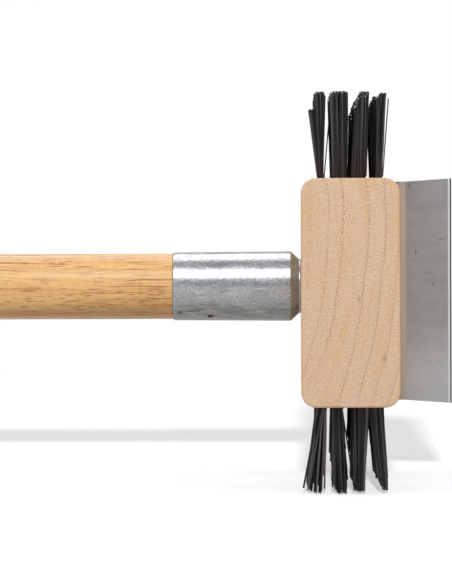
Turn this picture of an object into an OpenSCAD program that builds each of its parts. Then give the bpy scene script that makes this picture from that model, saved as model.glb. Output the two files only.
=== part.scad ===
// Double-sided grill cleaning brush: a wooden handle with a threaded metal tip screws into a
// wooden block that carries four rows of wire tufts on two faces and a scraper blade in front.
// X runs along the handle towards the scraper, Y across the head, Z up. The origin is under the
// middle of the whole brush, at the height of the lower wire tips.

/* [Overall] */
// Length from the end of the handle to the edge of the scraper
overall_len = 762; // [560:1:900]

/* [Head block] */
// Thickness of the block, along the handle
block_w = 38.5; // [36:0.5:50]
// Length of the block, across the handle
block_len = 203; // [180:1:230]
// Height of the block between its two bristle faces
block_h = 89; // [80:1:100]
// Radius of the block's four long edges
block_edge_r = 6; // [2:0.5:8]
// Bevel round the block's end-grain faces
block_end_bevel = 0.8; // [0.3:0.1:1.5]

/* [Bristles] */
// Length of wire that stands out of each bristle face
trim = 34; // [20:1:50]
// Tufts in a row
tufts_per_row = 20; // [10:1:20]
// Distance between neighbouring rows
row_pitch = 7.2; // [7:0.1:8]
// Distance from the block's end to the first tuft of a row
end_margin = 12.2; // [8:0.1:14]
// Diameter of a tuft's hole
tuft_hole_d = 4.5; // [4:0.1:4.8]
// Depth of a tuft's hole
tuft_hole_depth = 13; // [10:0.5:15]
// Diameter of a tuft at its wire tips
tuft_tip_d = 6.4; // [5:0.1:6.5]

/* [Anchors] */
// Thickness of an anchor's flat wire
anchor_t = 0.5; // [0.3:0.05:0.6]
// Width of an anchor across the hole, its bite into the wood at both sides included
anchor_w = 5.3; // [5:0.1:5.6]
// Height of an anchor
anchor_h = 2.2; // [1.5:0.1:3]
// Thickness of the folded wires under an anchor
fold_t = 1; // [0.8:0.1:2]

/* [Handle] */
// Diameter of the wooden handle
handle_d = 26.6; // [25.6:0.1:27]
// Height of the handle's axis above the middle of the block
handle_rise = 1; // [0:0.1:2]
// Radius of the handle's rounded end
end_round = 8; // [4:0.5:12]
// Length of the turned-down spigot inside the metal tip
spigot_len = 43; // [30:1:44]
// Diameter of the spigot
spigot_d = 24.7; // [24:0.1:24.8]
// Diameter of the hang hole
hang_hole_d = 8; // [5:0.5:10]
// Distance from the handle's end to the hang hole
hang_hole_inset = 25; // [20:1:40]

/* [Threaded tip] */
// Length of the metal sleeve over the wood
sleeve_len = 48; // [46:1:60]
// Outer diameter of the sleeve at its open end
sleeve_mouth_d = 27.6; // [27.4:0.1:28]
// Outer diameter of the sleeve at its cone
sleeve_front_d = 28.3; // [28:0.1:29]
// Bore of the sleeve
sleeve_bore_d = 24.8; // [24.8:0.1:25]
// Depth of the sleeve's bore
sleeve_bore_depth = 44; // [44:1:45]
// Radius of the rolled lip at the sleeve's open end
lip_r = 0.6; // [0.3:0.1:0.6]
// Length of the cone
cone_len = 3.3; // [2:0.1:6]
// Diameter of the cone's small end
shoulder_d = 22; // [20.5:0.1:24]
// Diameter of the staked dimple that holds the sleeve on the wood
dimple_d = 2.4; // [1.5:0.1:3]
// Depth of the dimple
dimple_depth = 0.7; // [0.3:0.1:0.9]
// Distance of the dimple from the sleeve's open end
dimple_inset = 15.5; // [8:0.5:30]
// Angle of the dimple round the sleeve, below the side at -Y
dimple_angle = 61; // [0:1:90]

/* [Screw thread] */
// Outer diameter of the thread, 3/4 inch
thread_d = 19; // [18:0.05:19.05]
// Diameter of the core under the thread
thread_core_d = 13.4; // [12:0.1:14]
// Advance in one turn, 5 threads to the inch
thread_pitch = 5.08; // [5.08:0.01:5.08]
// Length of the thread in the block, 1 inch
thread_len = 25.4; // [25.4:0.1:25.4]
// Radial clearance between the thread and the plain wall of the block's socket
thread_clear = 0.1; // [0.05:0.05:0.3]

/* [Spacer ring] */
// Thickness of the ring between the cone and the block
ring_t = 0.8; // [0.6:0.1:3]
// Bore of the ring
ring_bore_d = 19.3; // [19.2:0.1:19.8]
// Bevel on the ring's outer edges
ring_bevel = 0.15; // [0.05:0.05:0.25]

/* [Scraper] */
// Reach of the blade beyond the block
scraper_reach = 22.5; // [16:0.5:30]
// Thickness of the plate
plate_t = 1.2; // [0.8:0.1:2]
// Outer radius of the bend between blade and flange
bend_r = 4.5; // [2.5:0.1:6]
// Width of the plate at the block
root_w = 88.4; // [70:0.1:89]
// Width of the blade at its edge
edge_w = 91; // [70:0.5:100]
// Length of the flange on the block, without the bend
flange_len = 21; // [16:1:30]
// Length of the bevel at the blade's edge
edge_bevel = 1.5; // [0.5:0.1:3]
// Thickness left at the bevelled edge
edge_land = 0.3; // [0.2:0.1:0.5]
// Drop of the plate's middle below the block's
scraper_drop = 0.8; // [0:0.1:2]

/* [Scraper screws] */
// Distance between the two screws
screw_spacing = 56; // [40:1:70]
// Diameter of a screw's shank
screw_d = 4; // [3:0.5:5]
// Play of a screw in the plate's hole
screw_play = 0.4; // [0.2:0.1:0.6]
// Length of a screw under its head
screw_len = 16; // [10:1:20]
// Diameter of a screw's head
screw_head_d = 8; // [6:0.5:9]
// Height of a screw's head
screw_head_h = 2.6; // [1.5:0.1:3]
// Width of the screwdriver slot
slot_w = 1.2; // [0.8:0.1:1.5]

/* [Hidden] */
$fn = 48;
block_z = trim + block_h / 2;
axis_z = block_z + handle_rise;
head_x = overall_len / 2 - scraper_reach - block_w / 2;
back_x = head_x - block_w / 2;
front_x = head_x + block_w / 2;
shoulder_x = back_x - ring_t;
mouth_x = shoulder_x - cone_len - sleeve_len;
handle_end_x = -overall_len / 2;
grip_len = mouth_x - handle_end_x;
row_count = 4;
tuft_pitch = (block_len - 2 * end_margin) / (tufts_per_row - 1);
tuft_root_d = tuft_hole_d - 0.1;
stud_len = ring_t + thread_len;
stud_bevel = 1;
spigot_bevel = 1;
socket_depth = thread_len + 1;
thread_steps = 24;
thread_turns = 4.25;
thread_flank = 14.5;
root_sink = 0.5;
blade_y = -(flange_len + bend_r) / 2;
screw_y = blade_y + bend_r + flange_len / 2;
scraper_z = block_z - scraper_drop;
cut = 1;

// ---- Places and outlines ----

// Puts a shape made along +Z on the handle's axis, pointing along +X from x
module on_axis(x) {
  translate([x, 0, axis_z]) rotate([0, 90, 0]) children();
}

// Puts a shape made on the ground plane on the upper (side 1) or lower (side -1) bristle face
module on_face(side) {
  translate([head_x, 0, block_z + side * block_h / 2])
    rotate([side > 0 ? 0 : 180, 0, 0])
      children();
}

// Repeats a shape at each tuft of one row; row 1 is the nearest to the handle
module along_row(row) {
  row_x = (row - (row_count + 1) / 2) * row_pitch;
  for (k = [0:tufts_per_row - 1])
    translate([row_x, -block_len / 2 + end_margin + k * tuft_pitch, 0])
      children();
}

// Puts a shape made along +Z at each scraper screw, pointing out of the block's front face
module at_screws() {
  for (side = [-1, 1])
    translate([front_x, screw_y, scraper_z + side * screw_spacing / 2])
      rotate([0, 90, 0])
        children();
}

// Rectangle centred on the origin with a bevel at each corner
module bevelled_rectangle(w, l, bevel) {
  polygon([
    [w / 2 - bevel, -l / 2], [w / 2, -l / 2 + bevel],
    [w / 2, l / 2 - bevel], [w / 2 - bevel, l / 2],
    [-w / 2 + bevel, l / 2], [-w / 2, l / 2 - bevel],
    [-w / 2, -l / 2 + bevel], [-w / 2 + bevel, -l / 2]
  ]);
}

// Rectangle centred on the origin with true round corners
module round_rectangle(w, l, r) {
  square([w - 2 * r, l], center = true);
  square([w, l - 2 * r], center = true);
  for (sx = [-1, 1], sy = [-1, 1])
    translate([sx * (w / 2 - r), sy * (l / 2 - r)])
      circle(r = r);
}

// ---- Handle ----

// Half of the handle's outline: round-over at the free end, dowel, and spigot at the other end
module handle_outline() {
  r = handle_d / 2;
  spigot_r = spigot_d / 2;
  spigot_end = grip_len + spigot_len;
  square([r - end_round, grip_len]);
  translate([0, end_round]) square([r, grip_len - end_round]);
  intersection() {
    translate([r - end_round, end_round]) circle(r = end_round);
    square([r, end_round + cut]);
  }
  polygon([
    [0, grip_len - cut],
    [spigot_r, grip_len - cut],
    [spigot_r, spigot_end - spigot_bevel],
    [spigot_r - spigot_bevel, spigot_end],
    [0, spigot_end]
  ]);
}

module wood_handle() {
  color("#D9A565")
    difference() {
      on_axis(handle_end_x) rotate_extrude() handle_outline();
      translate([handle_end_x + hang_hole_inset, 0, axis_z])
        rotate([90, 0, 0])
          cylinder(d = hang_hole_d, h = handle_d + 2 * cut, center = true);
    }
}

// ---- Threaded metal tip ----

// Trapezoid ridge wound round the Z axis as a right-hand thread, sunk into the core at both ends
module thread_ridge() {
  steps = thread_turns * thread_steps;
  fade = thread_steps / 4;
  root_r = thread_core_d / 2 - root_sink;
  depth = thread_d / 2 - root_r;
  crest_half = 0.1854 * thread_pitch;
  root_half = crest_half + depth * tan(thread_flank);
  section = [[0, -root_half], [1, -crest_half], [1, crest_half], [0, root_half]];
  points = [
    for (i = [0:steps])
      let (
        turn = 360 * i / thread_steps,
        rise = thread_pitch * i / thread_steps,
        lift = min(1, 0.05 + i / fade, 0.05 + (steps - i) / fade)
      )
        for (s = section)
          let (r = root_r + s[0] * depth * lift)
            [r * cos(turn), r * sin(turn), rise + s[1]]
  ];
  sides = [
    for (i = [0:steps - 1], j = [0:3])
      let (a = 4 * i + j, b = 4 * i + (j + 1) % 4)
        each [[a, b, b + 4], [a, b + 4, a + 4]]
  ];
  ends = [[3, 2, 1, 0], [4 * steps, 4 * steps + 1, 4 * steps + 2, 4 * steps + 3]];
  translate([0, 0, ring_t + root_half])
    polyhedron(points = points, faces = concat(sides, ends));
}

// Half of the tip's outline: sleeve with its rolled lip, cone, and the core of the thread
module tip_outline() {
  mouth_r = sleeve_mouth_d / 2;
  bore_r = sleeve_bore_d / 2;
  core_r = thread_core_d / 2;
  shoulder = sleeve_len + cone_len;
  polygon([
    [0, sleeve_bore_depth],
    [bore_r, sleeve_bore_depth],
    [bore_r, 0],
    [mouth_r - lip_r, 0],
    [mouth_r - lip_r, lip_r],
    [mouth_r, lip_r],
    [sleeve_front_d / 2, sleeve_len],
    [shoulder_d / 2, shoulder],
    [core_r, shoulder],
    [core_r, shoulder + stud_len - stud_bevel],
    [core_r - stud_bevel, shoulder + stud_len],
    [0, shoulder + stud_len]
  ]);
  translate([mouth_r - lip_r, lip_r]) circle(r = lip_r);
}

module threaded_tip() {
  dimple_r = (pow(dimple_d / 2, 2) + pow(dimple_depth, 2)) / (2 * dimple_depth);
  color("#B9BCC0")
    difference() {
      union() {
        on_axis(mouth_x) rotate_extrude() tip_outline();
        on_axis(shoulder_x) thread_ridge();
      }
      translate([mouth_x + dimple_inset, 0, axis_z])
        rotate([dimple_angle, 0, 0])
          translate([0, dimple_depth - dimple_r - sleeve_mouth_d / 2, 0])
            sphere(r = dimple_r);
    }
}

// ---- Spacer ring ----

module spacer_ring() {
  r = shoulder_d / 2;
  color("#D5D6D6")
    on_axis(shoulder_x)
      rotate_extrude()
        polygon([
          [ring_bore_d / 2, 0],
          [r - ring_bevel, 0],
          [r, ring_bevel],
          [r, ring_t - ring_bevel],
          [r - ring_bevel, ring_t],
          [ring_bore_d / 2, ring_t]
        ]);
}

// ---- Head block ----

module block_blank() {
  translate([head_x, 0, block_z])
    intersection() {
      rotate([90, 0, 0])
        linear_extrude(block_len, center = true)
          round_rectangle(block_w, block_h, block_edge_r);
      linear_extrude(block_h + cut, center = true)
        bevelled_rectangle(block_w, block_len, block_end_bevel);
      rotate([90, 0, 90])
        linear_extrude(block_w + cut, center = true)
          bevelled_rectangle(block_len, block_h, block_end_bevel);
    }
}

module head_block() {
  color("#DCBB99")
    difference() {
      block_blank();
      on_axis(back_x - cut)
        cylinder(d = thread_d + 2 * thread_clear, h = socket_depth + cut);
      for (side = [-1, 1], row = [1:row_count])
        on_face(side) along_row(row)
          translate([0, 0, -tuft_hole_depth])
            cylinder(d = tuft_hole_d, h = tuft_hole_depth + cut, $fn = 24);
      at_screws()
        translate([0, 0, plate_t - screw_len])
          cylinder(d = screw_d, h = screw_len, $fn = 24);
    }
}

// ---- Tufts and their anchors ----

// Folded wires round an anchor: a root that fills the hole, flaring to the wire tips
module tuft() {
  difference() {
    translate([0, 0, -tuft_hole_depth])
      cylinder(d = tuft_root_d, h = tuft_hole_depth, $fn = 24);
    anchor();
  }
  cylinder(d1 = tuft_root_d, d2 = tuft_tip_d, h = trim, $fn = 24);
}

// Short flat wire pressed in across the hole, over the fold of the tuft's wires
module anchor() {
  translate([-anchor_t / 2, -anchor_w / 2, fold_t - tuft_hole_depth])
    cube([anchor_t, anchor_w, anchor_h]);
}

module tuft_row(side, row) {
  color("#2B2A2B") on_face(side) along_row(row) tuft();
}

module anchor_row(side, row) {
  color("#8F9194") on_face(side) along_row(row) anchor();
}

// ---- Scraper ----

// The plate seen from above: flange on the block, bend, and blade with its bevelled edge
module plate_outline() {
  translate([0, bend_r]) square([plate_t, flange_len]);
  translate([bend_r, bend_r])
    difference() {
      circle(r = bend_r);
      circle(r = bend_r - plate_t);
      translate([0, -2 * bend_r]) square([2 * bend_r, 4 * bend_r]);
      translate([-2 * bend_r, 0]) square([4 * bend_r, 2 * bend_r]);
    }
  polygon([
    [bend_r, 0],
    [scraper_reach - edge_bevel, 0],
    [scraper_reach, plate_t - edge_land],
    [scraper_reach, plate_t],
    [bend_r, plate_t]
  ]);
}

// The plate seen from the side: straight at the block, flaring to the edge
module plate_flare() {
  polygon([
    [-cut, -root_w / 2], [bend_r, -root_w / 2], [scraper_reach, -edge_w / 2],
    [scraper_reach + cut, -edge_w / 2], [scraper_reach + cut, edge_w / 2],
    [scraper_reach, edge_w / 2], [bend_r, root_w / 2], [-cut, root_w / 2]
  ]);
}

module scraper_blade() {
  color("#9A9894")
    difference() {
      translate([front_x, blade_y, scraper_z])
        intersection() {
          linear_extrude(edge_w, center = true) plate_outline();
          rotate([90, 0, 0])
            linear_extrude(4 * (flange_len + bend_r), center = true)
              plate_flare();
        }
      at_screws()
        translate([0, 0, -cut])
          cylinder(d = screw_d + screw_play, h = plate_t + 2 * cut, $fn = 24);
    }
}

module scraper_screws() {
  r = screw_d / 2;
  head_r = screw_head_d / 2;
  point_len = 4;
  crown = 0.6;
  color("#C9CACC")
    at_screws()
      translate([0, 0, plate_t])
        difference() {
          rotate_extrude()
            polygon([
              [0, -screw_len],
              [r, point_len - screw_len],
              [r, 0],
              [head_r, 0],
              [head_r, screw_head_h - 2 * crown],
              [head_r - crown, screw_head_h - crown / 2],
              [head_r / 2, screw_head_h],
              [0, screw_head_h]
            ]);
          translate([-head_r - cut, -slot_w / 2, screw_head_h - 1.2])
            cube([2 * (head_r + cut), slot_w, 1.2 + cut]);
        }
}

wood_handle();
threaded_tip();
spacer_ring();
head_block();
scraper_blade();
scraper_screws();
tuft_row(1, 1);  // upper_tufts_row_1
tuft_row(1, 2);  // upper_tufts_row_2
tuft_row(1, 3);  // upper_tufts_row_3
tuft_row(1, 4);  // upper_tufts_row_4
tuft_row(-1, 1);  // lower_tufts_row_1
tuft_row(-1, 2);  // lower_tufts_row_2
tuft_row(-1, 3);  // lower_tufts_row_3
tuft_row(-1, 4);  // lower_tufts_row_4
anchor_row(1, 1);  // upper_anchors_row_1
anchor_row(1, 2);  // upper_anchors_row_2
anchor_row(1, 3);  // upper_anchors_row_3
anchor_row(1, 4);  // upper_anchors_row_4
anchor_row(-1, 1);  // lower_anchors_row_1
anchor_row(-1, 2);  // lower_anchors_row_2
anchor_row(-1, 3);  // lower_anchors_row_3
anchor_row(-1, 4);  // lower_anchors_row_4
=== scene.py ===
"""Looks of the double-sided grill cleaning brush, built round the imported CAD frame.

Metres, Z up. X runs along the handle towards the scraper and Y along the head block, so the camera
looks along +Y at the block's end grain. Each CAD node that shows is replaced by a finer mesh of the
same shape, and the anchors hidden in the block keep theirs.
"""

import math
import random

import bpy
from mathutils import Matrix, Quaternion, Vector


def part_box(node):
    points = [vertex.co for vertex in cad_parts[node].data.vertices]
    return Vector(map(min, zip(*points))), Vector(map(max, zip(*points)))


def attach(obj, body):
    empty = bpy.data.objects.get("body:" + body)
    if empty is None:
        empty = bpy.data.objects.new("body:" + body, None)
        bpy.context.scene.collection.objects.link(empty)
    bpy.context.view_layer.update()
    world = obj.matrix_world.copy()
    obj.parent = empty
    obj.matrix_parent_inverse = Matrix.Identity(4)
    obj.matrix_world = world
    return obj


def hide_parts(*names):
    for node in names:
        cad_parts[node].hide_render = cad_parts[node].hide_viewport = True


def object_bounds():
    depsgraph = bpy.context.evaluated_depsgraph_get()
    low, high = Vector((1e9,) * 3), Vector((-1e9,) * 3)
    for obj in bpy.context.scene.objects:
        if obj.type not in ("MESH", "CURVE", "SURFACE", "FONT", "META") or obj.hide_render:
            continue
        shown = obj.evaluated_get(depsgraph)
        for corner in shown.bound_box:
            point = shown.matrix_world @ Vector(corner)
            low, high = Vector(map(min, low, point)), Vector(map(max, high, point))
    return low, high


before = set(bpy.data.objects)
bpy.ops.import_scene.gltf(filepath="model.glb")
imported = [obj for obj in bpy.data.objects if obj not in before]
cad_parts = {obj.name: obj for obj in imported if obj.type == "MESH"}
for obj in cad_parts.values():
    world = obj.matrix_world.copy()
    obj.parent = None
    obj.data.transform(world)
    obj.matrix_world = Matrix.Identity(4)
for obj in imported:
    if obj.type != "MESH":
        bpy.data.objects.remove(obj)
cad_low, cad_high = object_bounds()

MM = 0.001
scene = bpy.context.scene

# ---- Places, from the frame ----

block_low, block_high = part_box("head_block")
handle_low, handle_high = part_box("wood_handle")
tip_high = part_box("threaded_tip")[1]
ring_low, ring_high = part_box("spacer_ring")
blade_low, blade_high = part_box("scraper_blade")
screw_low, screw_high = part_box("scraper_screws")

block_middle = (block_low + block_high) / 2
handle_radius = (handle_high.y - handle_low.y) / 2
axis_z = (handle_low.z + handle_high.z) / 2
shoulder_x = ring_low.x
front_x = block_high.x

# ---- Driving sizes that the boxes don't give, in metres ----

edge_radius = 6 * MM
end_radius = 0.8 * MM
tuft_hole_radius = 2.25 * MM
tuft_hole_depth = 13 * MM
tufts_per_row = 20
end_margin = 12.2 * MM
socket_radius = 9.6 * MM
socket_depth = 26.4 * MM
screw_radius = 2 * MM
screw_spacing = 56 * MM

sleeve_length = 48 * MM
sleeve_mouth_radius = 13.8 * MM
sleeve_front_radius = 14.15 * MM
cone_length = 3.3 * MM
shoulder_radius = 11 * MM
bore_radius = 12.4 * MM
bore_depth = 44 * MM
thread_radius = 9.5 * MM
core_radius = 6.7 * MM
thread_pitch = 5.08 * MM
ring_bore_radius = 9.65 * MM
dimple_inset = 15.5 * MM
dimple_depth = 0.7 * MM
dimple_radius = 1.2 * MM
dimple_turn = math.radians(61)
spigot_radius = 12.35 * MM
hang_hole_inset = 25 * MM
hang_hole_radius = 4 * MM

plate_thickness = 1.2 * MM
bend_radius = 4.5 * MM
root_half_height = 44.2 * MM

mouth_x = shoulder_x - cone_length - sleeve_length
trim = block_low.z - cad_low.z
rows = range(1, 5)
sides = {"upper": 1, "lower": -1}


# ---- Mesh helpers ----


def new_object(name, vertices, faces):
    mesh = bpy.data.meshes.new(name)
    mesh.from_pydata(vertices, [], faces)
    mesh.validate()
    piece = bpy.data.objects.new(name, mesh)
    scene.collection.objects.link(piece)
    return piece


def loft(rings):
    """Vertices and faces of a closed skin through rings with the same number of points each."""
    count = len(rings[0])
    vertices = [point for ring in rings for point in ring]
    faces = []
    for step in range(len(rings) - 1):
        for i in range(count):
            near = step * count + i
            side = step * count + (i + 1) % count
            faces.append((near, side, side + count, near + count))
    faces.append(tuple(reversed(range(count))))
    faces.append(tuple(range(len(vertices) - count, len(vertices))))
    return vertices, faces


def rounded(corners, steps=6):
    """Path through corners, each (across, along, radius), with an arc where the radius isn't 0."""
    path = []
    for number, (a, b, radius) in enumerate(corners):
        corner = Vector((a, b))
        if not radius:
            path.append(corner)
            continue
        before = Vector(corners[number - 1][:2]) - corner
        after = Vector(corners[(number + 1) % len(corners)][:2]) - corner
        half_angle = before.angle(after) / 2
        reach = radius / math.tan(half_angle)
        start = corner + before.normalized() * reach
        end = corner + after.normalized() * reach
        inward = (before.normalized() + after.normalized()).normalized()
        centre = corner + inward * radius / math.sin(half_angle)
        for step in range(steps + 1):
            path.append(centre + radius * (start - centre).slerp(end - centre, step / steps))
    return path


def lathe(name, corners, segments=144):
    """Turned solid about the handle's axis. corners are (x, radius, rounding), from end to end."""
    rings = []
    for x, radius in rounded(corners):
        turns = (2 * math.pi * i / segments for i in range(segments))
        rings.append([(x, radius * math.cos(t), axis_z + radius * math.sin(t)) for t in turns])
    return new_object(name, *loft(rings))


def dimple_place():
    """Middle of the staked dimple, on the sleeve's skin."""
    down = Vector((0, -math.cos(dimple_turn), -math.sin(dimple_turn)))
    return Vector((mouth_x + dimple_inset, 0, axis_z)) + sleeve_mouth_radius * down


def rod(centre, direction, profile, segments=32):
    """Vertices and faces of a turned cutter: profile is (distance along direction, radius)."""
    turn = Vector((0, 0, 1)).rotation_difference(Vector(direction))
    rings = []
    for along, radius in profile:
        spots = (2 * math.pi * i / segments for i in range(segments))
        ring = [Vector((radius * math.cos(t), radius * math.sin(t), along)) for t in spots]
        rings.append([Vector(centre) + turn @ point for point in ring])
    return loft(rings)


def joined(solids):
    """One list of vertices and one of faces for several closed solids."""
    vertices = []
    faces = []
    for points, sides_of in solids:
        base = len(vertices)
        vertices.extend(points)
        faces.extend(tuple(base + i for i in face) for face in sides_of)
    return vertices, faces


def combine(piece, solids, operation="DIFFERENCE"):
    """Cuts solids out of the piece, or adds them to it, and keeps the resulting mesh."""
    tool = new_object("tool", *joined(solids))
    change = piece.modifiers.new("combine", "BOOLEAN")
    change.operation = operation
    change.solver = "EXACT"
    change.object = tool
    settled = piece.evaluated_get(bpy.context.evaluated_depsgraph_get())
    mesh = bpy.data.meshes.new_from_object(settled)
    piece.modifiers.clear()
    piece.data = mesh
    mesh.name = piece.name
    bpy.data.objects.remove(tool)


def smooth(piece, angle=32):
    """Smooth shading that keeps edges sharper than angle, with flat faces left flat."""
    piece.data.shade_smooth()
    piece.data.set_sharp_from_angle(angle=math.radians(angle))
    weights = piece.modifiers.new("weighted_normals", "WEIGHTED_NORMAL")
    weights.keep_sharp = True


def soften(piece, width, segments=2, angle=40):
    """Small rounding of the sharp edges."""
    bevel = piece.modifiers.new("soft_edges", "BEVEL")
    bevel.width = width
    bevel.segments = segments
    bevel.limit_method = "ANGLE"
    bevel.angle_limit = math.radians(angle)
    bevel.harden_normals = False


def place(piece, body, slot, *nodes):
    """The piece rides on a body and stands for CAD nodes, which it hides; slot is not used."""
    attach(piece, body)
    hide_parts(*nodes)


# ---- Node materials ----


class Surface:
    """A node material being put together. Values may be sockets, numbers or colours."""

    def __init__(self, name):
        self.material = bpy.data.materials.new(name)
        self.material.use_nodes = True
        self.tree = self.material.node_tree
        self.shader = self.tree.nodes["Principled BSDF"]
        self.place = self.node("ShaderNodeTexCoord").outputs["Object"]

    def node(self, kind, **settings):
        node = self.tree.nodes.new(kind)
        for name, value in settings.items():
            setattr(node, name, value)
        return node

    def feed(self, socket, value):
        if isinstance(value, bpy.types.NodeSocket):
            self.tree.links.new(value, socket)
        elif isinstance(value, tuple) and len(value) == 3 and socket.type == "RGBA":
            socket.default_value = (*value, 1)
        else:
            socket.default_value = value

    def set(self, **values):
        """Principled inputs by name, with _ for a space."""
        for name, value in values.items():
            self.feed(self.shader.inputs[name.replace("_", " ")], value)

    def math(self, operation, *values):
        node = self.node("ShaderNodeMath", operation=operation)
        for socket, value in zip(node.inputs, values):
            self.feed(socket, value)
        return node.outputs[0]

    def vector(self, operation, *values, output="Vector"):
        node = self.node("ShaderNodeVectorMath", operation=operation)
        for socket, value in zip(node.inputs, values):
            self.feed(socket, value)
        return node.outputs[output]

    def parts(self, vector):
        node = self.node("ShaderNodeSeparateXYZ")
        self.feed(node.inputs[0], vector)
        return node.outputs

    def whole(self, x, y, z):
        node = self.node("ShaderNodeCombineXYZ")
        for socket, value in zip(node.inputs, (x, y, z)):
            self.feed(socket, value)
        return node.outputs[0]

    def noise(self, x, y, z, detail=2.0, roughness=0.5, place=None):
        """Noise with x, y and z repeats to the metre."""
        spot = self.vector("MULTIPLY", place or self.place, (x, y, z))
        node = self.node("ShaderNodeTexNoise")
        self.feed(node.inputs["Vector"], spot)
        node.inputs["Scale"].default_value = 1
        node.inputs["Detail"].default_value = detail
        node.inputs["Roughness"].default_value = roughness
        return node.outputs["Fac"]

    def cells(self, x, y, z, place=None):
        """Distance from the middle of Voronoi cells, with x, y and z repeats to the metre."""
        spot = self.vector("MULTIPLY", place or self.place, (x, y, z))
        node = self.node("ShaderNodeTexVoronoi")
        self.feed(node.inputs["Vector"], spot)
        node.inputs["Scale"].default_value = 1
        return node.outputs["Distance"]

    def between(self, value, low, high, to_low=0.0, to_high=1.0):
        """Smooth step of value from low to high."""
        node = self.node("ShaderNodeMapRange", interpolation_type="SMOOTHSTEP")
        for socket, number in zip(node.inputs, (value, low, high, to_low, to_high)):
            self.feed(socket, number)
        return node.outputs[0]

    def ramp(self, value, stops):
        """Colours along value; stops are (place, colour) from 0 to 1."""
        node = self.node("ShaderNodeValToRGB")
        elements = node.color_ramp.elements
        while len(elements) < len(stops):
            elements.new(0.5)
        for element, (spot, colour) in zip(elements, stops):
            element.position = spot
            element.color = (*colour, 1)
        self.feed(node.inputs[0], value)
        return node.outputs["Color"]

    def mix(self, factor, a, b, blend="MIX"):
        node = self.node("ShaderNodeMix", data_type="RGBA", blend_type=blend)
        self.feed(node.inputs[0], factor)
        self.feed(node.inputs[6], a)
        self.feed(node.inputs[7], b)
        return node.outputs[2]

    def mark(self, across, along, middle, length, width, noise):
        """Soft spot of a length and a width about a middle, ragged by noise."""
        a = self.math("DIVIDE", self.math("SUBTRACT", across, middle[0]), length)
        b = self.math("DIVIDE", self.math("SUBTRACT", along, middle[1]), width)
        spread = self.vector("LENGTH", self.whole(a, b, 0.0), output="Value")
        spread = self.math("MULTIPLY_ADD", self.math("SUBTRACT", noise, 0.5), 1.6, spread)
        return self.between(spread, 1.0, 0.45)

    def bump(self, height, depth, below=None):
        """Bump of height (0 to 1) times depth, in metres."""
        node = self.node("ShaderNodeBump")
        node.inputs["Distance"].default_value = depth
        self.feed(node.inputs["Height"], height)
        if below is not None:
            self.feed(node.inputs["Normal"], below)
        return node.outputs["Normal"]


def paint(piece, *materials):
    piece.data.materials.clear()
    for material in materials:
        piece.data.materials.append(material)


def tint(red, green, blue):
    """Linear colour of an sRGB one from 0 to 255."""
    return tuple(((c / 255 + 0.055) / 1.055) ** 2.4 for c in (red, green, blue))


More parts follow.
